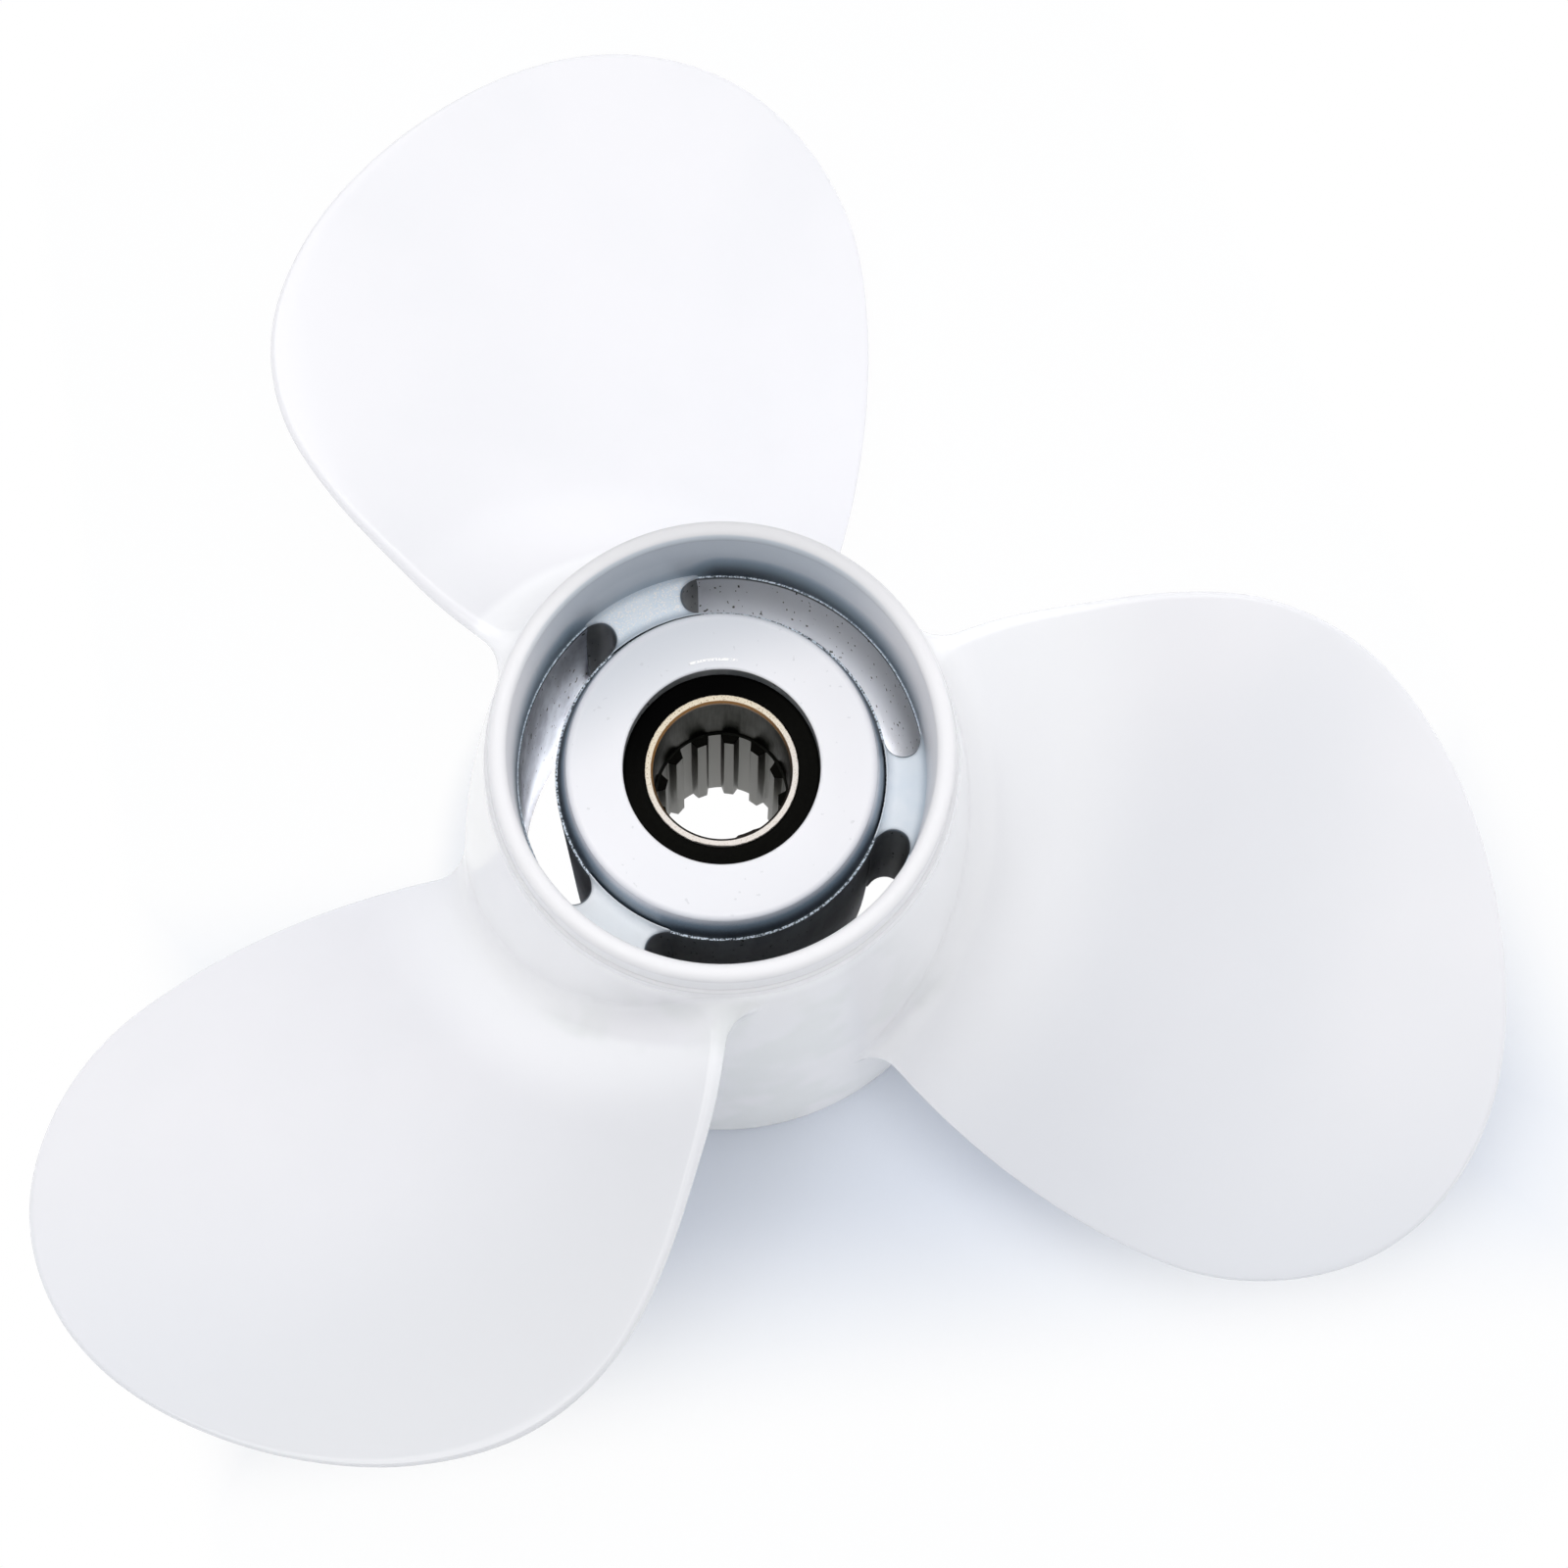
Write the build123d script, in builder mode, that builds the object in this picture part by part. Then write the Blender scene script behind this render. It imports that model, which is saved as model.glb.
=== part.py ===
"""Three-blade boat propeller with a through-hub exhaust and a rubber damper bush.

Frame: the shaft runs along +Z, which points aft, away from the boat. The origin is the
centre of the barrel's forward rim, where the hub laps over the gearcase. The tip of blade 1
lies on +Y. Angles around the shaft are in degrees, clockwise as seen from aft, from +Y.
"""

import os
from math import atan2, cos, degrees, pi, radians, sin, sqrt

from build123d import *

# Blades: a raked helix face, with the thickness on the forward side
blade_count = 3
propeller_diameter = 282.6  # 11 1/8 in
pitch = 330.2  # 13 in
rake_slope = 0.18  # millimetres forward for each millimetre outward
root_set_back = 8.2  # from the barrel's shoulder to the trailing root on the helix face
root_thickness = 9.0
tip_thickness = 2.4
edge_thickness = 1.8
edge_round_limit = 0.1  # share of the chord, where the chord is very short
root_flare = 5.0  # all round, where the blade's form starts inside the barrel
root_plane = 18.0
root_trailing_angle = -51.0
root_leading_angle = 31.8

# Blade outline: share of the way from barrel to tip, trailing angle, leading angle
blade_outline = [
    (0.12, -49.9, 30.4),
    (0.25, -47.5, 28.6),
    (0.40, -44.9, 26.2),
    (0.55, -41.4, 23.5),
    (0.70, -35.0, 20.3),
    (0.81, -27.0, 16.7),
    (0.89, -19.0, 13.1),
    (0.945, -12.3, 9.6),
    (0.98, -7.0, 5.9),
    (0.9975, -2.5, 2.0),
]

# Barrel, bulging slightly and closing towards its aft ring
barrel_length = 132.0
forward_rim_radius = 46.1
barrel_middle_radius = 43.7
ring_length = 9.0  # aft of the shoulder
shoulder_radius = 38.4
ring_radius = 37.7
lip_radius = 1.5
passage_forward_radius = 36.7
passage_aft_radius = 33.4
ledge_width = 0.9
recess_radius = 41.5  # laps over the gearcase
recess_depth = 9.0
seam_angle = 40.0  # counter-clockwise from +X

# Inner hub, carried in the barrel by three webs
web_height = 107.0
web_depth = 49.0
web_angle = 24.0
web_turn = -16.5
hub_forward_height = 20.0
boss_height = 9.5  # the aft boss stands proud of the webs
hub_forward_radius = 26.2
hub_web_radius = 26.9
boss_face_radius = 25.4
boss_edge_radius = 2.5
hub_bore_radius = 16.16
bore_edge_radius = 0.4

# Damper bush, sleeve and splined core
bush_forward_height = 36.0
bush_set_back = 4.7  # from the boss's aft face
bush_clearance = 0.05
sleeve_radius = 12.6
sleeve_wall = 0.7
sleeve_forward_height = 33.0
sleeve_set_back = 4.2
sleeve_lip_thickness = 1.5  # bored flush with the pilot
sleeve_chamfer = 0.4
pilot_radius = 11.3
spline_forward_height = 34.5
spline_aft_height = 85.0
spline_tooth_count = 13
spline_major_radius = 10.9
spline_minor_radius = 9.5
tooth_root_width = 3.7
tooth_tip_width = 1.65
first_tooth_angle = 15.5

os.makedirs("parts", exist_ok=True)

tip_radius = propeller_diameter / 2
shoulder_height = barrel_length - ring_length
face_height = shoulder_height - root_set_back + pitch * root_trailing_angle / 360
hub_aft_height = web_height + boss_height
bush_aft_height = hub_aft_height - bush_set_back
sleeve_aft_height = hub_aft_height - sleeve_set_back
core_radius = sleeve_radius - sleeve_wall
core_aft_height = sleeve_aft_height - sleeve_lip_thickness
tooth_seat_radius = (spline_major_radius + core_radius) / 2
blade_step = 360 / blade_count


def finish(sub_part, label):
    """Label one finished sub-part and write its STEP file."""
    sub_part.part.label = label
    export_step(sub_part.part, f"parts/{label}.step")


# Barrel: its outer curve also trims the blade roots, and its seam runs between two of them
seam_direction = Vector(1, 0, 0).rotate(Axis.Z, seam_angle)
profile_normal = seam_direction.rotate(Axis.Z, -90)
profile_plane = Plane(origin=(0, 0, 0), x_dir=seam_direction, z_dir=profile_normal)
barrel_curve = ThreePointArc(
    (forward_rim_radius, 0),
    (barrel_middle_radius, shoulder_height / 2),
    (shoulder_radius, shoulder_height),
)

with BuildPart() as barrel:
    with BuildSketch(profile_plane):
        with BuildLine():
            add(barrel_curve)
            Polyline(
                (shoulder_radius, shoulder_height),
                (ring_radius, shoulder_height),
                (ring_radius, barrel_length - lip_radius),
            )
            ThreePointArc(
                (ring_radius, barrel_length - lip_radius),
                (ring_radius - lip_radius, barrel_length),
                (ring_radius - 2 * lip_radius, barrel_length - lip_radius),
            )
            Polyline(
                (ring_radius - 2 * lip_radius, barrel_length - lip_radius),
                (passage_aft_radius + ledge_width, web_height),
                (passage_aft_radius, web_height),
                (passage_forward_radius, recess_depth),
                (recess_radius, recess_depth),
                (recess_radius, 0),
                (forward_rim_radius, 0),
            )
        make_face()
    revolve(axis=Axis.Z)
finish(barrel, "barrel")

with BuildPart() as barrel_envelope:
    with BuildSketch(profile_plane):
        with BuildLine():
            add(barrel_curve)
            Polyline(
                (shoulder_radius, shoulder_height),
                (ring_radius, shoulder_height),
                (ring_radius, barrel_length),
                (0, barrel_length),
                (0, 0),
                (forward_rim_radius, 0),
            )
        make_face()
    revolve(axis=Axis.Z)


# Blades
def barrel_radius(height):
    """The barrel's outer radius at a height, from the arc through its three radii."""
    centre = barrel_curve.arc_center
    return centre.X + sqrt(barrel_curve.radius**2 - (height - centre.Y) ** 2)


def face_point(share, angle, depth):
    """A point on the helix face, or depth before it, at a share of the way to the tip."""
    height = face_height - pitch * angle / 360
    hub_radius = barrel_radius(height)
    radius = hub_radius + share * (tip_radius - hub_radius)
    helix_angle = atan2(pitch, 2 * pi * radius)
    turn = radians(angle) - depth * sin(helix_angle) / radius
    height -= rake_slope * (radius - barrel_middle_radius) + depth * cos(helix_angle)
    return Vector(radius * sin(turn), radius * cos(turn), height)


def blade_section(share, trailing, leading, flare=0.0, plane_at=None):
    """One closed blade section with round edges, grown all round by flare.

    It is wrapped round the shaft, or flat in the plane Y = plane_at at a blade's two ends.
    """
    radius = barrel_middle_radius + share * (tip_radius - barrel_middle_radius)
    chord_slope = cos(atan2(pitch, 2 * pi * radius))
    degrees_per_mm = 180 / pi * chord_slope / radius
    chord = (leading - trailing) / degrees_per_mm
    nose = min(edge_thickness / 2, edge_round_limit * chord)
    first = trailing + (nose - flare) * degrees_per_mm
    last = leading - (nose - flare) * degrees_per_mm
    camber = root_thickness + (tip_thickness - root_thickness) * share - edge_thickness

    def point(angle, depth):
        place = face_point(share, angle, depth)
        return place if plane_at is None else Vector(place.X, plane_at, place.Z)

    def side(depth, bulge):
        steps = (0, 0.25, 0.5, 0.75, 1)
        return [
            point(first + (last - first) * u, depth + bulge * 4 * u * (1 - u)) for u in steps
        ]

    leading_nose = point(last + nose * degrees_per_mm, edge_thickness / 2)
    trailing_nose = point(first - nose * degrees_per_mm, edge_thickness / 2)
    with BuildLine():
        face_side = Spline(*side(-flare, 0))
        back_side = Spline(*reversed(side(edge_thickness + flare, camber)))
        leading_edge = ThreePointArc(face_side @ 1, leading_nose, back_side @ 0)
        trailing_edge = ThreePointArc(back_side @ 1, trailing_nose, face_side @ 0)
    return Wire([face_side, leading_edge, back_side, trailing_edge])


blade_sections = [
    blade_section(0, root_trailing_angle, root_leading_angle, root_flare, root_plane),
    *[blade_section(*station) for station in blade_outline[:-1]],
    blade_section(*blade_outline[-1], plane_at=tip_radius),
]
with BuildPart() as blade_form:
    add(Solid.make_loft(blade_sections))
    add(barrel_envelope.part, mode=Mode.SUBTRACT)

for number in range(blade_count):
    with BuildPart() as blade:
        add(blade_form.part, rotation=(0, 0, -blade_step * number))
    finish(blade, f"blade_{number + 1}")

# Inner hub: a drafted tube whose aft boss stands proud of the webs
with BuildPart() as inner_hub:
    with BuildSketch(Plane.XZ):
        with BuildLine():
            Polyline(
                (hub_bore_radius, hub_forward_height),
                (hub_forward_radius, hub_forward_height),
                (hub_web_radius, web_height),
                (boss_face_radius, hub_aft_height),
                (hub_bore_radius, hub_aft_height),
                (hub_bore_radius, hub_forward_height),
            )
        make_face()
    revolve(axis=Axis.Z)
    aft_rims = inner_hub.edges().group_by(Axis.Z)[-1].sort_by(SortBy.RADIUS)
    fillet(aft_rims[-1], boss_edge_radius)
    fillet(aft_rims[0], bore_edge_radius)
finish(inner_hub, "inner_hub")

# Webs: what three round-ended exhaust slots leave between the hub and the barrel
web_forward_height = web_height - web_depth
slot_width = passage_aft_radius - hub_web_radius
slot_centre_radius = hub_web_radius + slot_width / 2
slot_end_angle = degrees(slot_width / 2 / slot_centre_radius)
slot_sweep = blade_step - web_angle - 2 * slot_end_angle


def hub_radius_at(height):
    """The inner hub's outer radius forward of the webs' aft face."""
    taper = (hub_web_radius - hub_forward_radius) / (web_height - hub_forward_height)
    return hub_web_radius - taper * (web_height - height)


def passage_radius_at(height):
    """The barrel's inner radius forward of the webs' aft face."""
    taper = (passage_forward_radius - passage_aft_radius) / (web_height - recess_depth)
    return passage_aft_radius + taper * (web_height - height)


with BuildPart() as passage_ring:
    with BuildSketch(Plane.XZ):
        with BuildLine():
            Polyline(
                (hub_radius_at(web_forward_height), web_forward_height),
                (passage_radius_at(web_forward_height), web_forward_height),
                (passage_aft_radius, web_height),
                (hub_web_radius, web_height),
                (hub_radius_at(web_forward_height), web_forward_height),
            )
        make_face()
    revolve(axis=Axis.Z)

for number in range(blade_count):
    web_direction = 90 - web_turn - blade_step * number
    with BuildPart() as web:
        with BuildSketch(Plane.XY.offset(web_height)):
            with BuildLine():
                PolarLine((0, 0), recess_radius, web_direction - web_angle)
                CenterArc((0, 0), recess_radius, web_direction - web_angle, 2 * web_angle)
                PolarLine((0, 0), recess_radius, web_direction + web_angle)
            make_face()
            for side in (-1, 1):
                slot_start = web_direction + side * (web_angle / 2 + slot_end_angle)
                slot_line = CenterArc((0, 0), slot_centre_radius, slot_start, side * slot_sweep)
                SlotArc(slot_line, slot_width, mode=Mode.SUBTRACT)
        extrude(amount=-web_depth)
        add(passage_ring.part, mode=Mode.INTERSECT)
    finish(web, f"web_{number + 1}")

# Damper bush: rubber, pressed into the inner hub, free to twist round the sleeve
with BuildPart() as damper_bush:
    with BuildSketch(Plane.XY.offset(bush_forward_height)):
        Circle(hub_bore_radius)
        Circle(sleeve_radius + bush_clearance, mode=Mode.SUBTRACT)
    extrude(amount=bush_aft_height - bush_forward_height)
finish(damper_bush, "damper_bush")

# Brass sleeve: a thin tube whose aft end turns in over the core
with BuildPart() as brass_sleeve:
    with BuildSketch(Plane.XZ):
        with BuildLine():
            Polyline(
                (core_radius, sleeve_forward_height),
                (sleeve_radius, sleeve_forward_height),
                (sleeve_radius, sleeve_aft_height),
                (pilot_radius + sleeve_chamfer, sleeve_aft_height),
                (pilot_radius, sleeve_aft_height - sleeve_chamfer),
                (pilot_radius, core_aft_height),
                (core_radius, core_aft_height),
                (core_radius, sleeve_forward_height),
            )
        make_face()
    revolve(axis=Axis.Z)
finish(brass_sleeve, "brass_sleeve")

# Splined core: the shaft's teeth engage forward, a smooth pilot lies aft of them
with BuildPart() as spline_core:
    with BuildSketch(Plane.XY.offset(sleeve_forward_height)):
        Circle(core_radius)
        Circle(spline_major_radius, mode=Mode.SUBTRACT)
    extrude(amount=core_aft_height - sleeve_forward_height)
    with BuildSketch(Plane.XY.offset(spline_aft_height)):
        Circle(pilot_radius)
    extrude(amount=core_aft_height - spline_aft_height, mode=Mode.SUBTRACT)
    with BuildSketch(Plane.XY.offset(spline_forward_height)):
        with PolarLocations(0, spline_tooth_count, start_angle=90 - first_tooth_angle):
            Polygon(
                (tooth_seat_radius, -tooth_root_width / 2),
                (tooth_seat_radius, tooth_root_width / 2),
                (spline_minor_radius, tooth_tip_width / 2),
                (spline_minor_radius, -tooth_tip_width / 2),
                align=None,
            )
    extrude(amount=spline_aft_height - spline_forward_height)
finish(spline_core, "spline_core")
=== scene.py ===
import math

import bmesh
import bpy
import numpy as np
from mathutils import Matrix, Vector


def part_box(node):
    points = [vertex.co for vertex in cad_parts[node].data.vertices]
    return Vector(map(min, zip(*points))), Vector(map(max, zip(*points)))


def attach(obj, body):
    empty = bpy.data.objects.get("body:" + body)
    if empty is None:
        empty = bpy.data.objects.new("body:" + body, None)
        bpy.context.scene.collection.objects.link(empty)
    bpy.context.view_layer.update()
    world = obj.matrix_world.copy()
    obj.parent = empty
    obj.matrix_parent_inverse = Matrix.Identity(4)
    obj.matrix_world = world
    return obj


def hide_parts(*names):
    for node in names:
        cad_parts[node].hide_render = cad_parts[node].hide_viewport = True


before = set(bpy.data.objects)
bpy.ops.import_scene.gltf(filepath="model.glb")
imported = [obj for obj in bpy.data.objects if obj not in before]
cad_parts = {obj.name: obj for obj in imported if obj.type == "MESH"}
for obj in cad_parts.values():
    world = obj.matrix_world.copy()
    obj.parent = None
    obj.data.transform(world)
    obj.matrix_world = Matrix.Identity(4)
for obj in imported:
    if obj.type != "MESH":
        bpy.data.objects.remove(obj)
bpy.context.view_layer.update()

MM = 0.001
TURN = 2 * math.pi

# Sizes in millimetres. They are the solids' own, but for the hub at the webs, the passages' forward
# end, the two ledges and the boss's edge, which are finer here.
BLADE_COUNT = 3
TIP_RADIUS = 141.3
PITCH = 330.2
RAKE_SLOPE = 0.18
ROOT_THICKNESS = 9.0
TIP_THICKNESS = 2.4
EDGE_THICKNESS = 1.8
ROOT_EDGE_THICKNESS = 3.4
ROOT_FILLET = 5.0
ROOT_TRAILING = -51.0
ROOT_LEADING = 31.8
# share of the way to the tip, trailing angle and leading angle
BLADE_OUTLINE = (
    (0.12, -49.9, 30.4), (0.25, -47.5, 28.6), (0.40, -44.9, 26.2), (0.55, -41.4, 23.5), (0.70, -35.0, 20.3),
    (0.81, -27.0, 16.7), (0.89, -19.0, 13.1), (0.945, -12.3, 9.6), (0.98, -7.0, 5.9), (0.9975, -2.5, 2.0),
)
BARREL_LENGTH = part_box("barrel")[1].z / MM
FORWARD_RIM = 46.1
BARREL_MIDDLE = 43.7
SHOULDER_HEIGHT = 123.0
SHOULDER_RADIUS = 38.4
RING_RADIUS = 37.7
LIP_RADIUS = 1.5
LIP_INNER = RING_RADIUS - 2 * LIP_RADIUS
PASSAGE_FORWARD = 35.4
PASSAGE_AFT = 33.4
LEDGE_WIDTH = 0.25
RECESS_RADIUS = 41.5
RECESS_DEPTH = 9.0
WEB_HEIGHT = 107.0
WEB_DEPTH = 49.0
WEB_ANGLE = 24.0
WEB_TURN = -16.5
WEB_EDGE = 0.9
WEB_FILLET = 1.6
HUB_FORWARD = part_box("inner_hub")[0].z / MM
HUB_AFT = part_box("inner_hub")[1].z / MM
HUB_FORWARD_RADIUS = 26.2
HUB_WEB_RADIUS = 27.4
HUB_LEDGE = 0.35
BOSS_RADIUS = 25.4
BOSS_EDGE = 1.1
HUB_BORE = 16.16
BUSH_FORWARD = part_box("damper_bush")[0].z / MM
BUSH_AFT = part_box("damper_bush")[1].z / MM
BUSH_GAP = 0.05
BUSH_DISH = 0.12
SLEEVE_RADIUS = 12.6
SLEEVE_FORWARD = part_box("brass_sleeve")[0].z / MM
SLEEVE_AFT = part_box("brass_sleeve")[1].z / MM
SLEEVE_CHAMFER = 0.4
NICK_DEPTH = 0.05
FLAT_DEPTH = 0.1
BURR_HEIGHT = 0.28
CORE_RADIUS = 11.9
CORE_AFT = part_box("spline_core")[1].z / MM
PILOT_RADIUS = 11.3
SPLINE_MAJOR = 10.9
SPLINE_MINOR = 9.5
SPLINE_FORWARD = 34.5
SPLINE_AFT = 85.0
SPLINE_TEETH = 13
SPLINE_BEVEL = 0.3
PILOT_STEP = 8.0
TOOTH_ROOT = 3.7
TOOTH_TIP = 1.65
FIRST_TOOTH = 15.5
TOOTH_SEAT = (SPLINE_MAJOR + CORE_RADIUS) / 2
FLANK_SLOPE = (TOOTH_ROOT - TOOTH_TIP) / 2 / (TOOTH_SEAT - SPLINE_MINOR)
# the blades' trailing corners start this far forward of the shoulder
BLADE_SETBACK = 8.2
FACE_HEIGHT = SHOULDER_HEIGHT - BLADE_SETBACK + PITCH * ROOT_TRAILING / 360

# Directions across the shaft, seen from aft with blade 1 on the far side
RIGHT = (1.0, 0.0, 0.0)
LEFT = (-1.0, 0.0, 0.0)
FAR = (0.0, 1.0, 0.0)
NEAR = (0.0, -1.0, 0.0)
FAR_SIDE = (-0.3, 0.95, 0.0)
ROUGH_WEB = (-0.5, 0.87, 0.0)
NEAR_LEFT_WEB = (-0.5, -0.87, 0.0)


# Shader maths

class Term:
    """A shader value that works in Python expressions."""

    def __init__(self, nodes, socket):
        self.nodes = nodes
        self.socket = socket

    def math(self, operation, *terms):
        return self.nodes.node("ShaderNodeMath", {"operation": operation}, dict(enumerate(terms)))

    def __add__(self, other):
        return self.math("ADD", self, other)

    def __mul__(self, other):
        return self.math("MULTIPLY", self, other)

    def __sub__(self, other):
        return self.math("SUBTRACT", self, other)

    def __rsub__(self, other):
        return self.math("SUBTRACT", other, self)

    def __pow__(self, other):
        return self.math("POWER", self, other)

    __radd__ = __add__
    __rmul__ = __mul__

    def most(self, other):
        return self.math("MAXIMUM", self, other)

    def dot(self, direction):
        inputs = {0: self, 1: direction}
        return self.nodes.node("ShaderNodeVectorMath", {"operation": "DOT_PRODUCT"}, inputs, "Value")

    def stretch(self, scale):
        return self.nodes.node("ShaderNodeVectorMath", {"operation": "MULTIPLY"}, {0: self, 1: scale})

    def ramp(self, start, end):
        """0 before start, 1 after end, and smooth between."""
        settings = {"interpolation_type": "SMOOTHSTEP"}
        return self.nodes.node("ShaderNodeMapRange", settings, {0: self, 1: start, 2: end})

    def band(self, rise, fall):
        """1 between the two spans, 0 outside them, and smooth over each."""
        return self.ramp(*rise) * (1 - self.ramp(*fall))


class Nodes:
    """The nodes of a material or of the world."""

    def __init__(self, tree):
        self.tree = tree

    def feed(self, socket, value):
        if isinstance(value, Term):
            self.tree.links.new(value.socket, socket)
        else:
            socket.default_value = value

    def node(self, kind, settings=None, inputs=None, output=0):
        """One node: its settings first, then its sockets; returns one output."""
        made = self.tree.nodes.new(kind)
        for name, value in (settings or {}).items():
            setattr(made, name, value)
        for key, value in (inputs or {}).items():
            self.feed(made.inputs[key], value)
        return Term(self, made.outputs[output])

    def rays(self):
        """The light path's outputs by name."""
        outputs = self.node("ShaderNodeLightPath").socket.node.outputs
        return {socket.name: Term(self, socket) for socket in outputs}


class Finish(Nodes):
    """A material, and the nodes that make it."""

    def __init__(self, name):
        self.material = bpy.data.materials.new(name)
        self.material.use_nodes = True
        super().__init__(self.material.node_tree)
        self.shader = self.tree.nodes["Principled BSDF"]

    def place(self):
        """Where a point lies, in millimetres: the vector, the radius from the shaft and the height."""
        spot = self.node("ShaderNodeTexCoord", output="Object")
        spot = self.node("ShaderNodeVectorMath", {"operation": "SCALE"}, {0: spot, "Scale": 1 / MM})
        across, along, height = self.split(spot)
        radius = (across * across + along * along) ** 0.5
        return spot, radius, height

    def split(self, spot):
        outputs = self.node("ShaderNodeSeparateXYZ", inputs={0: spot}).socket.node.outputs
        return [Term(self, socket) for socket in outputs]

    def web_wave(self, spot):
        """1 in line with each web, falling to -1 half way between two."""
        across, along, _ = self.split(spot)
        turn = along.math("ARCTAN2", along, across)
        return turn.math("COSINE", BLADE_COUNT * turn - BLADE_COUNT * math.radians(90 - WEB_TURN))

    def noise(self, spot, size, detail=2.0, roughness=0.5):
        """Noise whose lumps are about size millimetres across."""
        inputs = {"Vector": spot, "Scale": 1 / size, "Detail": detail, "Roughness": roughness}
        return self.node("ShaderNodeTexNoise", None, inputs)

    def mix(self, factor, first, second):
        """From the first colour to the second."""
        made = self.node("ShaderNodeMix", {"data_type": "RGBA"}, {"Factor": factor}).socket.node
        self.feed(made.inputs[6], first)
        self.feed(made.inputs[7], second)
        return Term(self, made.outputs[2])

    def bump(self, height, depth, strength):
        inputs = {"Height": height, "Distance": depth * MM, "Strength": strength}
        return self.node("ShaderNodeBump", None, inputs)

    def shade(self, **inputs):
        for name, value in inputs.items():
            self.feed(self.shader.inputs[name.replace("_", " ")], value)
        return self.material


def colour(red, green, blue):
    return (red, green, blue, 1.0)


PURE_WHITE = colour(1.0, 1.0, 1.0)
WHITE_SHADE = colour(0.86, 0.868, 0.907)
WHITE_TONE = colour(0.88, 0.884, 0.922)
WHITE_PAINTED_LIGHT = colour(0.96, 0.97, 1.0)
WHITE_PAINTED_SHADE = colour(0.76, 0.785, 0.835)
WHITE_DEEPER_PAINTED_SHADE = colour(0.785, 0.80, 0.835)
PAINTED_REFLECTION_GREEN = colour(0.74, 0.785, 0.775)
LEDGE_PAINTED_SHADE = colour(0.80, 0.805, 0.83)
LIP_PAINTED_SHADE = colour(0.84, 0.845, 0.875)
LIP_FAR_PAINTED_SHADE = colour(0.68, 0.685, 0.71)
PRIMER_AND_PAINTED_SHADE = colour(0.33, 0.42, 0.51)
PRIMER_NAVY_AND_PAINTED_SHADE = colour(0.012, 0.02, 0.032)
PAINTED_EDGE_HIGHLIGHT = colour(0.8, 0.9, 1.0)
FACE_PAINTED_SHADE = colour(0.64, 0.67, 0.72)
SPECK_GREY = colour(0.45, 0.47, 0.5)
BORE_GREY = colour(0.03, 0.032, 0.03)

# Spans of radius where one region of the paint gives way to the next
BOSS_SIDE = (23.0, 25.0)
BOSS_FACE = (24.0, 26.0)
BOSS_FOOT = (29.0, 30.0)
CUP_WALL = (35.0, 35.6)
RING_SIDE = (37.2, 37.6)
BLADE_ROOT = (44.5, 46.5)
BARREL_SKIN = (46.0, 48.0)


# Finishes

def hub_tones(finish, body, spot, radius, height):
    """Painted light on and by the barrel, a painted reflection of faint green underneath, and painted shade
    that dulls the ring's step and lip.
    """
    near_side = spot.dot(NEAR)
    # painted light: a brighter white by the blades' roots near the hub, and on the ring and the barrel but
    # underneath
    full = (1 - radius.ramp(47.0, 62.0)) * near_side.ramp(-25.0, 15.0)
    full = full.most((1 - radius.ramp(56.0, 84.0)) * spot.dot((1.0, -0.2, 0.0)).ramp(20.0, 45.0))
    full = full * radius.ramp(*BLADE_ROOT)
    outside = radius.band(RING_SIDE, BARREL_SKIN)
    underneath = near_side.ramp(28.0, 38.0) * (1 - height.ramp(SHOULDER_HEIGHT - 9.0, SHOULDER_HEIGHT - 3.0))
    body = finish.mix(full.most(outside * (1 - underneath)), body, WHITE_PAINTED_LIGHT)
    # painted reflection: faint green clouds low on the barrel's near side
    reflection_clouds = finish.noise(spot.stretch((1.0, 1.0, 0.5)), 13.0).ramp(0.42, 0.62)
    body = finish.mix(0.5 * reflection_clouds * underneath * (1 - radius.ramp(*BARREL_SKIN)), body, PAINTED_REFLECTION_GREEN)
    # painted shade: a duller white on the ring's step
    step = height.band(
        (SHOULDER_HEIGHT - 0.5, SHOULDER_HEIGHT - 0.3), (SHOULDER_HEIGHT + 0.1, SHOULDER_HEIGHT + 0.4)
    )
    body = finish.mix(step * outside, body, LEDGE_PAINTED_SHADE)
    # painted shade: a duller white on the lip, duller still toward its far side
    lip = height.ramp(BARREL_LENGTH - 2.1, BARREL_LENGTH - 1.4)
    lip_far = (spot.dot((0.2, 0.98, 0.0)) * 0.026).ramp(0.3, 1.0)
    return finish.mix(lip, body, finish.mix(lip_far, LIP_PAINTED_SHADE, LIP_FAR_PAINTED_SHADE))


def blade_tones(finish, body, spot, radius):
    """Painted shade: a darker, cooler white toward the near tips, in the middle of the second blade and over
    the third.
    """
    body = finish.mix(spot.dot(NEAR).ramp(30.0, 110.0), body, WHITE_PAINTED_SHADE)
    middle = radius.band((52.0, 75.0), (95.0, 122.0))
    second_blade = spot.dot((0.5, -1.0, 0.0)).ramp(25.0, 55.0) * spot.dot(RIGHT).ramp(10.0, 40.0)
    body = finish.mix(0.45 * middle * second_blade, body, WHITE_PAINTED_SHADE)
    third_blade = spot.dot(LEFT).ramp(-10.0, 10.0) * spot.dot((0.35, -1.0, 0.0)).ramp(25.0, 75.0)
    return finish.mix(third_blade * radius.ramp(*BLADE_ROOT), body, WHITE_DEEPER_PAINTED_SHADE)


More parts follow.
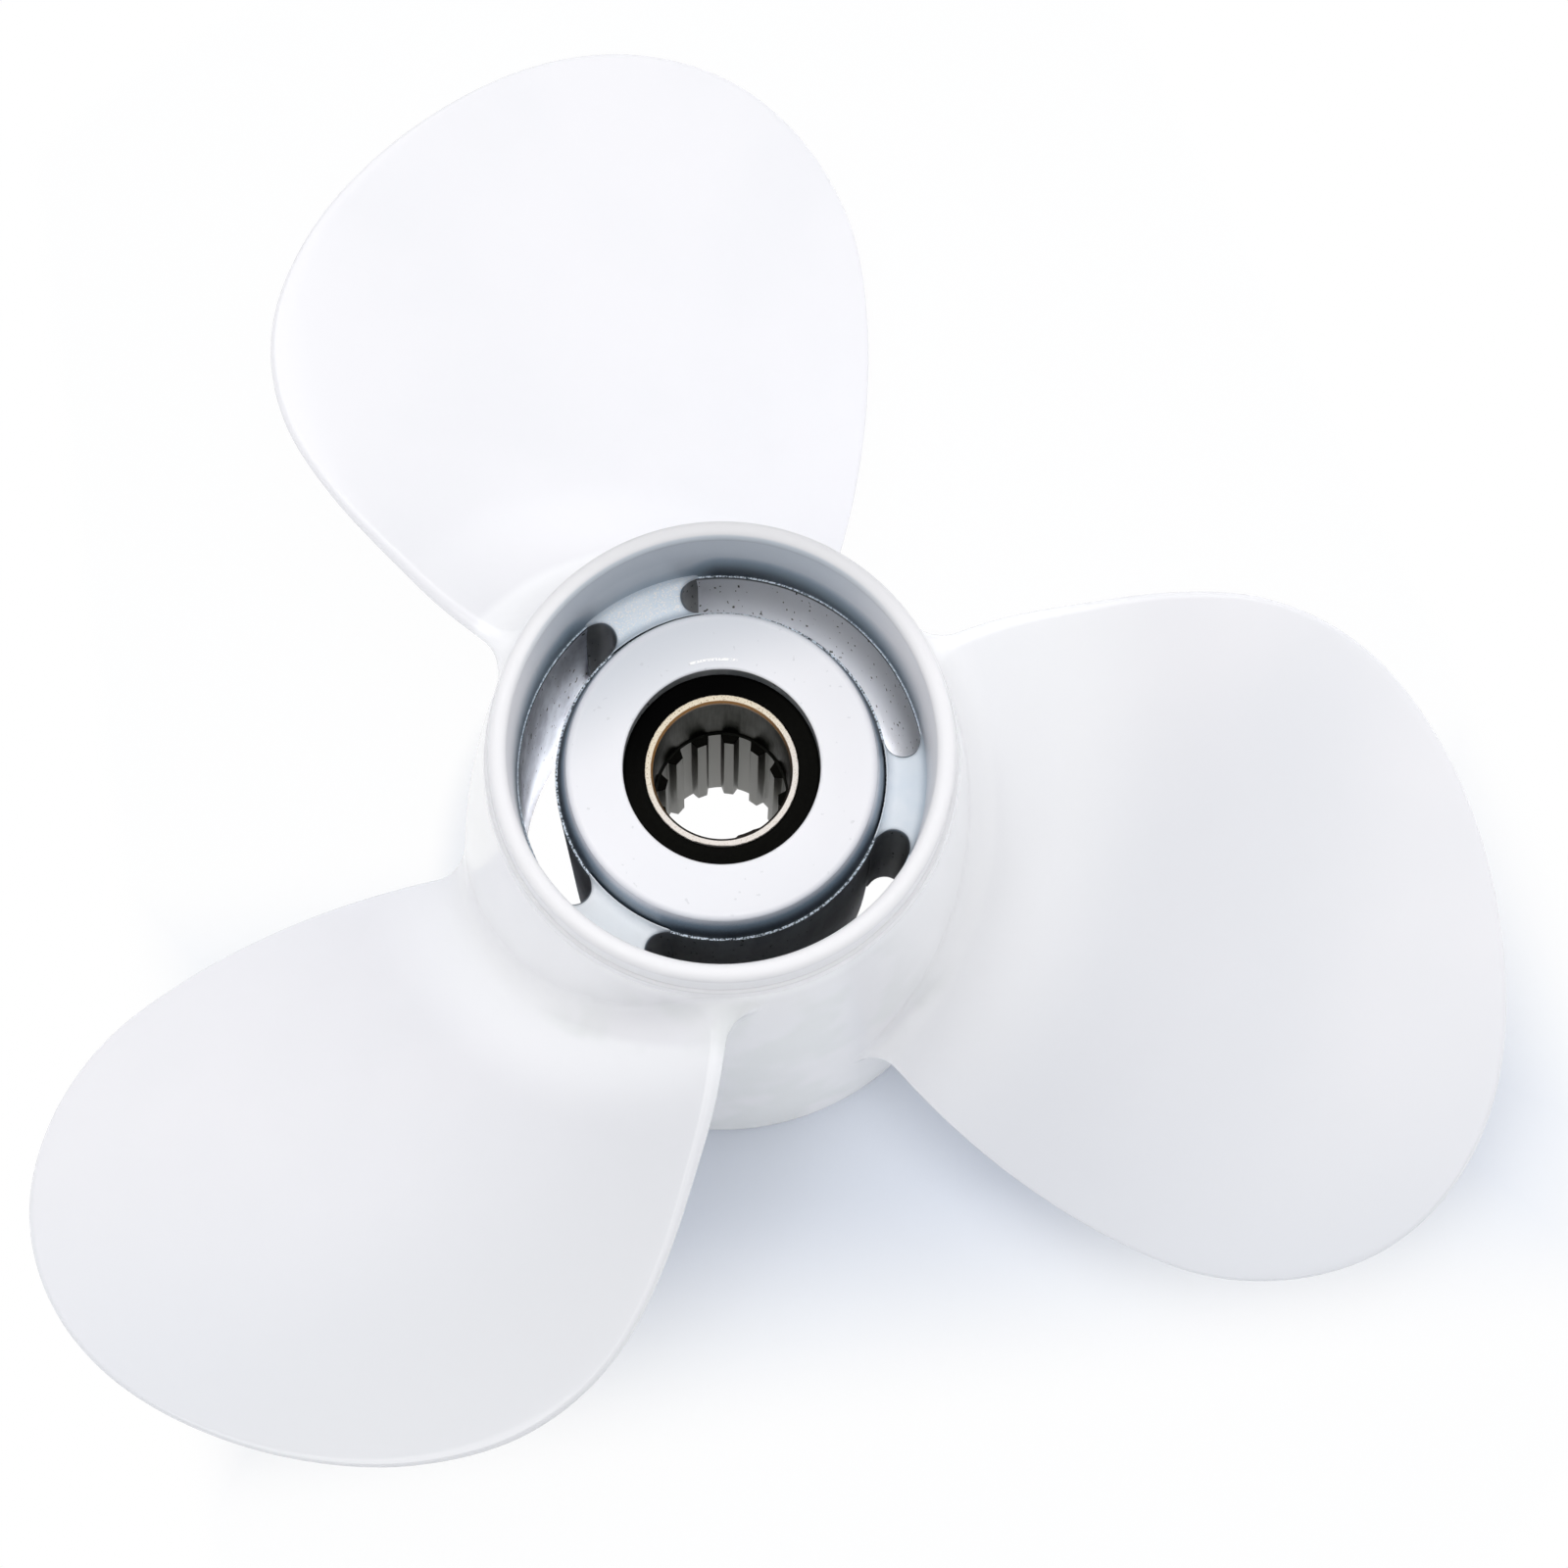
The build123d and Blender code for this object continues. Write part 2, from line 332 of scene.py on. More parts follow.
def thin_paint_and_painted_light(finish, body, spot, radius, height, speckle):
    """Thin paint over primer low on the cup's wall and on the boss's side, deepened by painted shade and
    painted reflection, and a painted highlight along the slots' edges.
    """
    # 1 along the slots, 0 at the webs
    slots = 1 - finish.web_wave(spot).ramp(0.3, 0.8)
    wall = radius.band(BOSS_FOOT, CUP_WALL)
    boss = radius.band(BOSS_SIDE, BOSS_FOOT)
    misty_height = height + 1.2 * (speckle - 0.5)
    # painted reflection: darker along the slots, where the glossy wall would mirror their dark gaps
    wall_thin_and_shade = wall * (1 - misty_height.ramp(WEB_HEIGHT - 2.0, WEB_HEIGHT + 20.0)) * (0.4 + 0.6 * slots)
    # about -1 to 1 across the cup, from its near side to its far side
    cup_radius = 34.0
    across = spot.dot((0.0, 1 / cup_radius, 0.0))
    # painted shade: darker toward the cup's near and far sides, and over the whole wall on its far side
    wall_thin_and_shade = wall_thin_and_shade * (0.3 + 0.7 * across * across)
    wall_thin_and_shade = wall_thin_and_shade.most(0.24 * wall * across.ramp(0.2, 0.9))
    # thin paint and painted shade low on the boss's side, by its foot
    boss_thin_and_shade = 1.1 * boss * (1 - misty_height.ramp(WEB_HEIGHT, WEB_HEIGHT + 10.0)) * (0.85 + 0.15 * slots)
    thin = wall_thin_and_shade.most(boss_thin_and_shade)
    # thin paint and painted shade both come out as the primer's haze and navy
    body = finish.mix(thin.ramp(0.0, 0.45), body, PRIMER_AND_PAINTED_SHADE)
    body = finish.mix(thin.ramp(0.3, 1.1), body, PRIMER_NAVY_AND_PAINTED_SHADE)
    # painted highlight: a bright speckled line along the slots' edges at the webs' height
    line = height.band((WEB_HEIGHT - 0.35, WEB_HEIGHT - 0.2), (WEB_HEIGHT + 0.1, WEB_HEIGHT + 0.25))
    return finish.mix((1 - radius.ramp(*CUP_WALL)) * line * speckle.ramp(0.35, 0.6), body, PAINTED_EDGE_HIGHLIGHT)


def boss_specks_and_painted_light(finish, body, spot, radius, height, speckle):
    """Painted shade toward the far side, faint specks and a painted highlight of short bright dashes on the
    boss's face, and its bore, dark below the edge.
    """
    face = (1 - radius.ramp(*BOSS_FACE)) * height.ramp(HUB_AFT - 1.0, HUB_AFT - 0.5)
    # painted shade: the face greyer toward its far side
    body = finish.mix(face * (spot.dot(FAR_SIDE) * 0.045).ramp(0.3, 1.1), body, FACE_PAINTED_SHADE)
    specks = finish.noise(spot, 0.9, detail=0.0).ramp(0.80, 0.84)
    body = finish.mix(face * specks * 0.25, body, SPECK_GREY)
    # painted highlight: short bright dashes by the bore on the far side
    painted_glint = radius.band((17.5, 17.6), (17.9, 18.0)) * speckle.ramp(0.4, 0.5)
    painted_glint = painted_glint * (spot.dot((0.06, 1.0, 0.0)) - radius * 0.975).ramp(0.0, 0.1)
    body = finish.mix(face * painted_glint, body, PURE_WHITE)
    # darker down the bore, below its edge
    bore = 1 - radius.ramp(HUB_BORE + 0.1, HUB_BORE + 0.2)
    return finish.mix(bore * (1 - height.ramp(HUB_AFT - 1.6, HUB_AFT - 0.6)), body, BORE_GREY)


def white_enamel(name, coat, specular, roughness):
    """White enamel over dark primer, which shows where the enamel is thin, with painted light, painted shade
    and painted reflections on it.
    """
    finish = Finish(name)
    spot, radius, height = finish.place()
    drift = finish.noise(spot, 40.0)
    speckle = finish.noise(spot, 0.35)
    orange_peel = finish.noise(spot, 1.6, detail=1.0)
    body = finish.mix(drift.ramp(0.35, 0.65), WHITE_SHADE, WHITE_TONE)
    body = hub_tones(finish, body, spot, radius, height)
    body = blade_tones(finish, body, spot, radius)
    body = thin_paint_and_painted_light(finish, body, spot, radius, height, speckle)
    body = boss_specks_and_painted_light(finish, body, spot, radius, height, speckle)
    below_ring = 1 - height.ramp(SHOULDER_HEIGHT - 9.0, SHOULDER_HEIGHT - 6.0)
    dull_ring = height.ramp(SHOULDER_HEIGHT - 4.0, SHOULDER_HEIGHT - 1.0)
    return finish.shade(
        Base_Color=body,
        Roughness=roughness + 0.05 * drift + 0.25 * dull_ring,
        Normal=finish.bump(orange_peel * below_ring, 0.01, 0.1),
        Coat_Weight=coat * (1 - dull_ring),
        Coat_Roughness=0.06,
        Specular_IOR_Level=specular,
    )


def web_paint():
    """A thin coat of white over primer on the webs' rough faces, with painted glints on the rough web,
    painted shade in its hollow by the boss, painted light on the near left web, and thin paint with painted
    shade in the corners.
    """
    finish = Finish("thin_white_over_primer")
    spot, radius, height = finish.place()
    grain = finish.noise(spot, 0.55, detail=3.0, roughness=0.6)
    patches = finish.noise(spot, 5.0)
    body = finish.mix(patches.ramp(0.3, 0.7), colour(0.82, 0.89, 0.96), colour(0.90, 0.95, 1.0))
    rough_side = (spot.dot(ROUGH_WEB) * 0.04).ramp(0.2, 1.0)
    body = finish.mix(grain.ramp(0.42, 0.58) * 0.35 * rough_side, body, colour(0.76, 0.88, 1.0))
    # painted shade: darker in the hollow by the boss on the rough web
    hollow = (1 - radius.ramp(27.9, 29.0)) * rough_side
    body = finish.mix(hollow * 0.5, body, colour(0.52, 0.60, 0.67))
    glints = finish.noise(spot, 0.27, detail=0.0).ramp(0.60, 0.66) * rough_side * (1 - hollow)
    body = finish.mix(glints, body, PURE_WHITE)
    # painted light: a brighter white on the near left web
    painted_light_side = (spot.dot(NEAR_LEFT_WEB) * 0.04).ramp(0.2, 1.0)
    body = finish.mix(painted_light_side * 0.8, body, colour(0.955, 0.98, 1.0))
    # thin paint and painted shade: primer haze toward the corners by the boss and the barrel's wall
    web_middle = 30.15
    corner = (radius - web_middle).most(web_middle - radius).ramp(2.4, 3.6)
    body = finish.mix(corner * 0.35, body, PRIMER_AND_PAINTED_SHADE)
    rim = 1 - height.ramp(WEB_HEIGHT - 0.36, WEB_HEIGHT - 0.16)
    body = finish.mix(rim * 0.85, body, colour(0.06, 0.09, 0.13))
    return finish.shade(Base_Color=body, Roughness=0.28 + 0.2 * grain, Normal=finish.bump(grain, 0.12, 0.5))


def cast_wall(name, dark, light, right=None):
    """Cast aluminium under a dusting of paint, with painted shade making it nearly black deep down, and, if
    right is given, a paler right side of painted light and a navy edge of thin paint and painted shade.
    """
    finish = Finish(name)
    spot, _, height = finish.place()
    drawn = spot.stretch((1.0, 1.0, 0.2))
    mottle = finish.noise(drawn, 4.0, detail=4.0, roughness=0.6)
    grain = finish.noise(drawn, 0.7)
    body = finish.mix(mottle.ramp(0.35, 0.65), dark, light)
    if right:
        # painted light: paler toward the right
        body = finish.mix((spot.dot((0.9, 0.4, 0.0)) * 0.03).ramp(-0.2, 0.8), body, right)
        # thin paint and painted shade: a navy edge just below the webs
        body = finish.mix(height.ramp(WEB_HEIGHT - 2.2, WEB_HEIGHT - 0.9) * 0.9, body, PRIMER_NAVY_AND_PAINTED_SHADE)
    # painted shade: nearly black deep down in the passages
    body = finish.mix(0.95 * (1 - height.ramp(12.0, 76.0)), body, colour(0.06, 0.06, 0.065))
    pits = finish.noise(drawn, 0.6, detail=0.0).ramp(0.765, 0.79)
    body = finish.mix(pits, body, colour(0.02, 0.02, 0.022))
    normal = finish.bump(mottle + 0.3 * grain, 0.2, 0.5)
    return finish.shade(Base_Color=body, Roughness=0.5 + 0.2 * mottle, Normal=normal)


def bush_rubber():
    """Matt black rubber, with painted shade making it blacker on its far side."""
    finish = Finish("black_rubber")
    spot, _, _ = finish.place()
    grain = finish.noise(spot, 0.5, detail=3.0)
    body = finish.mix(grain, colour(0.002, 0.002, 0.0018), colour(0.006, 0.006, 0.005))
    # painted shade: blacker toward the far side
    body = finish.mix((spot.dot(FAR_SIDE) * 0.05).ramp(0.0, 0.7), body, colour(0.0005, 0.0005, 0.0005))
    return finish.shade(
        Base_Color=body,
        Roughness=0.45 + 0.2 * grain,
        Normal=finish.bump(grain, 0.05, 0.4),
        Specular_IOR_Level=0.05,
    )


def turned_brass():
    """Pale worn brass, with a painted reflection on the lip's inner chamfer: brown on the far side, and
    nearly black on the near side, where the chamfer faces away.
    """
    finish = Finish("turned_brass")
    spot, radius, _ = finish.place()
    tarnish = finish.noise(spot, 1.2, detail=3.0)
    specks = finish.noise(spot, 0.28, detail=1.0).ramp(0.60, 0.66)
    far_side = (spot.dot(FAR_SIDE) * 0.05).ramp(-0.3, 0.5)
    body = finish.mix(far_side, colour(1.0, 0.94, 0.88), colour(0.97, 0.87, 0.69))
    body = finish.mix(specks * (0.3 + 0.5 * far_side), body, colour(0.42, 0.27, 0.12))
    # painted reflection on the inner chamfer: the dark pilot on the near side and brass on the far side
    chamfer = 1 - radius.ramp(PILOT_RADIUS + 0.28, PILOT_RADIUS + 0.42)
    inside = finish.mix(far_side, colour(0.02, 0.015, 0.012), colour(0.32, 0.16, 0.05))
    return finish.shade(
        Base_Color=finish.mix(chamfer, body, inside),
        Metallic=0.3,
        Roughness=0.30 + 0.25 * tarnish,
        Normal=finish.bump(tarnish, 0.05, 0.4),
    )


def broached_steel():
    """Broached teeth, a shade lighter than the bored pilot aft of them."""
    finish = Finish("broached_steel")
    spot, _, height = finish.place()
    streaks = finish.noise(spot.stretch((1.0, 1.0, 0.04)), 0.35)
    teeth = finish.mix(streaks, colour(0.32, 0.32, 0.315), colour(0.46, 0.46, 0.445))
    patches = finish.noise(spot, 2.5)
    pilot = finish.mix(patches.ramp(0.35, 0.65), colour(0.028, 0.03, 0.026), colour(0.052, 0.054, 0.047))
    return finish.shade(
        Base_Color=finish.mix(height.ramp(SPLINE_AFT - 0.05, SPLINE_AFT), teeth, pilot),
        Metallic=0.9,
        Roughness=0.24 + 0.16 * streaks,
        Normal=finish.bump(streaks, 0.03, 0.3),
        Specular_Tint=colour(0.3, 0.3, 0.29),
    )


def black_tooth_ends():
    """Nearly black steel on the aft bevels of the teeth."""
    finish = Finish("black_tooth_end_steel")
    spot, _, _ = finish.place()
    grain = finish.noise(spot, 0.6, detail=3.0)
    return finish.shade(
        Base_Color=finish.mix(grain, colour(0.004, 0.004, 0.0035), colour(0.012, 0.012, 0.010)),
        Roughness=0.5 + 0.2 * grain,
        Normal=finish.bump(grain, 0.04, 0.4),
        Specular_IOR_Level=0.1,
    )


WHITE = white_enamel("gloss_white_enamel", coat=0.3, specular=0.5, roughness=0.16)
THIN_WHITE = white_enamel("thin_white_enamel", coat=0.0, specular=0.2, roughness=0.35)
WEB_PAINT = web_paint()
CAST = cast_wall(
    "rough_cast_passage",
    dark=colour(0.53, 0.56, 0.65),
    light=colour(0.81, 0.86, 0.96),
    right=colour(0.90, 0.93, 1.0),
)
# painted shade: a darker copy of the cast finish for the sides down in the passages
DARK_CAST = cast_wall("shaded_cast_sides", dark=colour(0.13, 0.14, 0.15), light=colour(0.22, 0.23, 0.24))
RUBBER = bush_rubber()
BRASS = turned_brass()
STEEL = broached_steel()
TOOTH_END_BLACK = black_tooth_ends()


# Mesh making

CRISP_ANGLE = math.radians(34)
# a rounded corner takes at most this share of the shorter side, and its sides are held flat from this far on
CORNER_SHARE = 0.47
CORNER_HOLD = 1.06
# steps round the shaft in each turned piece
BARREL_STEPS = 320
HUB_STEPS = 256
BUSH_STEPS = 192
SLEEVE_STEPS = 288


def add_piece(name, points, faces, materials, body, replaced, zone=None, crisp=CRISP_ANGLE):
    """One smooth mesh piece from points in millimetres; zone picks each face's material from its centre."""
    mesh = bpy.data.meshes.new(name)
    mesh.from_pydata([tuple(point) for point in np.asarray(points) * MM], [], faces)
    shape = bmesh.new()
    shape.from_mesh(mesh)
    bmesh.ops.remove_doubles(shape, verts=shape.verts, dist=1e-7)
    bmesh.ops.recalc_face_normals(shape, faces=shape.faces)
    for edge in shape.edges:
        edge.smooth = edge.calc_face_angle(0) < crisp
    for face in shape.faces:
        face.smooth = True
        if zone:
            centre = face.calc_center_median() / MM
            face.material_index = materials.index(zone(math.hypot(centre.x, centre.y), centre.z))
    shape.to_mesh(mesh)
    shape.free()
    for material in materials:
        mesh.materials.append(material)
    piece = bpy.data.objects.new(name, mesh)
    bpy.context.scene.collection.objects.link(piece)
    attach(piece, body)
    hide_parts(replaced)


def add_casting(name, points, faces, materials, replaced, zone=None, crisp=CRISP_ANGLE):
    """A piece of the painted casting."""
    add_piece(name, points, faces, materials, "casting", replaced, zone, crisp)


def grid_faces(rows, columns, wrap_rows=False, wrap_columns=True):
    """Quads over a grid of points, row by row."""
    faces = []
    for row in range(rows if wrap_rows else rows - 1):
        here = row * columns
        after = (row + 1) % rows * columns
        for column in range(columns if wrap_columns else columns - 1):
            beside = (column + 1) % columns
            faces.append((here + column, here + beside, after + beside, after + column))
    return faces


def grid_border(rows, columns):
    """The points round the edge of a grid, in order."""
    last = (rows - 1) * columns
    border = list(range(columns))
    border += [row * columns + columns - 1 for row in range(1, rows)]
    border += [last + column for column in range(columns - 2, -1, -1)]
    border += [row * columns for row in range(rows - 2, 0, -1)]
    return border


def rounded_profile(corners, steps=7):
    """A closed profile of (radius, height, corner rounding), each corner rounded and held flat beside it."""
    corners = np.array(corners, float)
    path = []
    for index, (across, up, rounding) in enumerate(corners):
        here = np.array((across, up))
        before = corners[index - 1][:2] - here
        after = corners[(index + 1) % len(corners)][:2] - here
        if rounding <= 0:
            path.append(here)
            continue
        before_unit = before / np.linalg.norm(before)
        after_unit = after / np.linalg.norm(after)
        half = math.acos(np.clip(before_unit @ after_unit, -1, 1)) / 2
        reach = rounding / math.tan(half)
        limit = CORNER_SHARE * min(np.linalg.norm(before), np.linalg.norm(after))
        if reach > limit:
            rounding *= limit / reach
            reach = limit
        middle = before_unit + after_unit
        centre = here + middle / np.linalg.norm(middle) * rounding / math.sin(half)
        start = here + before_unit * reach
        end = here + after_unit * reach
        first = math.atan2(*(start - centre)[::-1])
        sweep = math.atan2(*(end - centre)[::-1]) - first
        sweep = (sweep + math.pi) % TURN - math.pi
        path.append(here + before_unit * reach * CORNER_HOLD)
        for step in range(steps + 1):
            angle = first + sweep * step / steps
            path.append(centre + rounding * np.array((math.cos(angle), math.sin(angle))))
        path.append(here + after_unit * reach * CORNER_HOLD)
    return np.array(path)


def ring_points(radius, angles, height):
    """Points at the angles round the shaft, all at one height."""
    return np.stack([radius * np.cos(angles), radius * np.sin(angles), np.full(len(angles), height)], 1)


def lathe(profile, steps):
    """Points and faces of a closed profile turned round the shaft."""
    angles = np.arange(steps) * TURN / steps
    points = np.concatenate([ring_points(radius, angles, height) for radius, height in profile])
    return points, grid_faces(len(profile), steps, wrap_rows=True)


def edge_fall(gap, rounding):
    """How far a rounded edge has fallen at each distance from it."""
    return rounding - np.sqrt(rounding**2 - np.clip(rounding - gap, 0, rounding) ** 2)


def three_point_circle(first, second, third):
    """Centre and radius of the circle through three points."""
    rows = np.array([second - first, third - first])
    sums = np.array([(point @ point - first @ first) / 2 for point in (second, third)])
    centre = np.linalg.solve(rows, sums)
    return centre, np.linalg.norm(first - centre)


BARREL_CENTRE, BARREL_ARC = three_point_circle(
    np.array((FORWARD_RIM, 0.0)),
    np.array((BARREL_MIDDLE, SHOULDER_HEIGHT / 2)),
    np.array((SHOULDER_RADIUS, SHOULDER_HEIGHT)),
)


def barrel_radius(height):
    return BARREL_CENTRE[0] + np.sqrt(BARREL_ARC**2 - (height - BARREL_CENTRE[1]) ** 2)


# Barrel and inner hub

def make_barrel():
    """The outside with its ring and lip, and inside the cup, the passages' outer wall and the recess."""
    # the side's points keep clear of its rounded ends
    heights = np.linspace(4.0, SHOULDER_HEIGHT - 3.0, 40)
    side = [(barrel_radius(height), height, 0) for height in heights]
    lip_rounding = LIP_RADIUS * 0.98
    corners = [
        (barrel_radius(0.0), 0, 0.9),
        *side,
        (SHOULDER_RADIUS, SHOULDER_HEIGHT, 0.5),
        (RING_RADIUS, SHOULDER_HEIGHT, 0.3),
        (RING_RADIUS, BARREL_LENGTH, lip_rounding),
        (LIP_INNER, BARREL_LENGTH, lip_rounding),
        (PASSAGE_AFT + LEDGE_WIDTH, WEB_HEIGHT, 0.8),
        (PASSAGE_AFT, WEB_HEIGHT, 0.4),
        (PASSAGE_FORWARD, RECESS_DEPTH, 0.8),
        (RECESS_RADIUS, RECESS_DEPTH, 0.8),
        (RECESS_RADIUS, 0, 0.5),
    ]
    points, faces = lathe(rounded_profile(corners), BARREL_STEPS)
    ledge = WEB_HEIGHT - 0.3

    def zone(radius, height):
        if height < ledge and radius < PASSAGE_FORWARD + 0.2:
            return CAST
        if ledge <= height < BARREL_LENGTH - 2 * LIP_RADIUS and radius < LIP_INNER + 0.1:
            return THIN_WHITE
        return WHITE

    add_casting("barrel_shell", points, faces, [WHITE, CAST, THIN_WHITE], "barrel", zone)


def make_inner_hub():
    """The hub between the passages and the bush, with its boss standing proud of the webs."""
    corners = [
        (HUB_BORE, HUB_FORWARD, 0.6),
        (HUB_FORWARD_RADIUS, HUB_FORWARD, 1.5),
        (HUB_WEB_RADIUS, WEB_HEIGHT, 0.1),
        (HUB_WEB_RADIUS - HUB_LEDGE, WEB_HEIGHT, 0.1),
        (BOSS_RADIUS, HUB_AFT, BOSS_EDGE),
        (HUB_BORE, HUB_AFT, 0.5),
    ]
    points, faces = lathe(rounded_profile(corners, steps=12), HUB_STEPS)

    def zone(radius, height):
        if height < WEB_HEIGHT - 0.3:
            return DARK_CAST
        if WEB_HEIGHT + 0.1 < height < HUB_AFT - BOSS_EDGE and radius > BOSS_RADIUS - 1.0:
            return THIN_WHITE
        return WHITE

    add_casting("hub_boss", points, faces, [WHITE, DARK_CAST, THIN_WHITE], "inner_hub", zone)


# Blades

BLADE_SPAN = TIP_RADIUS - BARREL_MIDDLE
FILLET_ROWS = 12
BLADE_ROWS = 84
EDGE_COLUMNS = 9
BLADE_COLUMNS = 40
# the first row lies this deep under the barrel's skin, and is this much wider than the fillet
ROOT_SINK = 0.05
SINK_FLARE = 1.2
# 2 would round the edges to a quarter circle, and more makes them fuller
EDGE_FULLNESS = 2.3


def outline_angles(share):
    """Trailing and leading angle of the blade at each share of the way from barrel to tip."""
    stations = np.array([(0, ROOT_TRAILING, ROOT_LEADING), *BLADE_OUTLINE, (1, 0, 0)])
    along = 1 - np.sqrt(1 - stations[:, 0])
    wanted = 1 - np.sqrt(1 - np.clip(share, 0, 1))
    curves = []
    for column in (1, 2):
        values = stations[:, column]
        slopes = np.gradient(values, along)
        slot = np.clip(np.searchsorted(along, wanted) - 1, 0, len(along) - 2)
        span = along[slot + 1] - along[slot]
        part = (wanted - along[slot]) / span
        curves.append(
            (2 * part**3 - 3 * part**2 + 1) * values[slot]
            + (part**3 - 2 * part**2 + part) * span * slopes[slot]
            + (3 * part**2 - 2 * part**3) * values[slot + 1]
            + (part**3 - part**2) * span * slopes[slot + 1]
        )
    return curves


def blade_points(share, angle, depth):
    """Points on the helix face, or depth before it, at a share of the way from the barrel to the tip."""
    radius = BARREL_MIDDLE + share * BLADE_SPAN
    # the barrel's wall moves with the height, and the height with the radius, so both are settled together
    for _ in range(5):
        helix = np.arctan2(PITCH, TURN * radius)
        height = FACE_HEIGHT - PITCH * angle / 360 - depth * np.cos(helix)
        height = height - RAKE_SLOPE * (radius - BARREL_MIDDLE)
        wall = barrel_radius(height)
        radius = wall + share * (TIP_RADIUS - wall)
    turn = np.radians(angle) - depth * np.sin(helix) / radius
    return np.stack([radius * np.sin(turn), radius * np.cos(turn), height], -1)


def degree_length(radius):
    """Length of one degree of turn along the helix."""
    return np.radians(1) * radius / np.cos(np.arctan2(PITCH, TURN * radius))


def blade_rows():
    """Each row's share of the way to the tip, and how far the root's fillet flares there."""
    climb = ROOT_FILLET * (1 - np.cos(np.linspace(0, math.pi / 2, FILLET_ROWS)))
    fillet_end = 1 - np.sqrt(1 - ROOT_FILLET / BLADE_SPAN)
    upper = 1 - (1 - np.linspace(fillet_end, 1, BLADE_ROWS)[1:]) ** 2
    share = np.concatenate([[-ROOT_SINK / BLADE_SPAN], climb / BLADE_SPAN, upper])
    flare = ROOT_FILLET * (1 - np.sqrt(1 - (1 - climb / ROOT_FILLET) ** 2))
    return share, np.concatenate([[ROOT_FILLET + SINK_FLARE], flare, np.zeros(len(upper))])


def points_across(half, chord):
    """Places across each row, close together where the edges round."""
    quarter = np.linspace(0, math.pi / 2, EDGE_COLUMNS)[:-1]
    rounding = np.minimum(half, 0.3 * chord)[:, None]
    from_edge = rounding * (1 - np.cos(quarter))[None, :]
    middle = rounding + (chord[:, None] - 2 * rounding) * np.linspace(0, 1, BLADE_COLUMNS)[None, :]
    return np.concatenate([from_edge, middle, chord[:, None] - from_edge[:, ::-1]], 1)


def outline_distance(flat):
    """Distance of points on the unrolled blade from the nearest stretch of its outline."""
    share = 1 - (1 - np.linspace(0.3, 1, 500)) ** 2
    radius = BARREL_MIDDLE + share * BLADE_SPAN
    degree = degree_length(radius)
    trailing, leading = [np.stack([side * degree, radius], 1) for side in outline_angles(share)]
    border = np.concatenate([trailing, leading[::-1]])
    stretches = border[1:] - border[:-1]
    offset = flat[:, :, None, :] - border[:-1]
    travel = (offset * stretches).sum(-1) / ((stretches**2).sum(-1) + 1e-12)
    return np.linalg.norm(offset - np.clip(travel, 0, 1)[..., None] * stretches, axis=-1).min(-1)


def blade_section():
    """Rows of points round the blade, from its root to its tip."""
    share, flare = blade_rows()
    radius = BARREL_MIDDLE + share * BLADE_SPAN
    degree = degree_length(radius)
    trailing, leading = outline_angles(share)
    trailing = trailing - flare / degree
    leading = leading + flare / degree
    chord = (leading - trailing) * degree
    edge = EDGE_THICKNESS + (ROOT_EDGE_THICKNESS - EDGE_THICKNESS) * np.clip(1 - share / 0.6, 0, 1) ** 2
    half = edge / 2 + flare
    across = points_across(half, chord)
    angle = trailing[:, None] + across / degree[:, None]
    # distance to the edge: along the row, and toward the tip to the nearest point of the outline
    nearest = np.minimum(across, chord[:, None] - across)
    flat = np.stack([angle * degree[:, None], np.broadcast_to(radius[:, None], angle.shape)], -1)
    outer = share > 0.5
    nearest[outer] = np.minimum(nearest[outer], outline_distance(flat[outer]))
    rise = (1 - (1 - np.clip(nearest / half[:, None], 0, 1)) ** EDGE_FULLNESS) ** (1 / EDGE_FULLNESS)
    rise[:, 0] = 0
    rise[:, -1] = 0
    part = across / np.maximum(chord, 1e-9)[:, None]
    camber = (ROOT_THICKNESS + (TIP_THICKNESS - ROOT_THICKNESS) * share - edge)[:, None]
    camber = np.maximum(camber, 0) * 4 * part * (1 - part) * rise
    middle = edge[:, None] / 2
    shares = np.broadcast_to(share[:, None], angle.shape)
    face_side = blade_points(shares, angle, middle - half[:, None] * rise)
    back_side = blade_points(shares, angle, middle + half[:, None] * rise + camber)
    return np.concatenate([face_side, back_side[:, -2:0:-1]], 1)


def make_blade(number, section):
    turned = Matrix.Rotation(-TURN * number / BLADE_COUNT, 3, "Z")
    points = section.reshape(-1, 3) @ np.array(turned).T
    faces = grid_faces(section.shape[0], section.shape[1])
    name = f"blade_{number + 1}"
    add_casting(f"{name}_skin", points, faces, [WHITE], name, crisp=math.inf)


# Webs

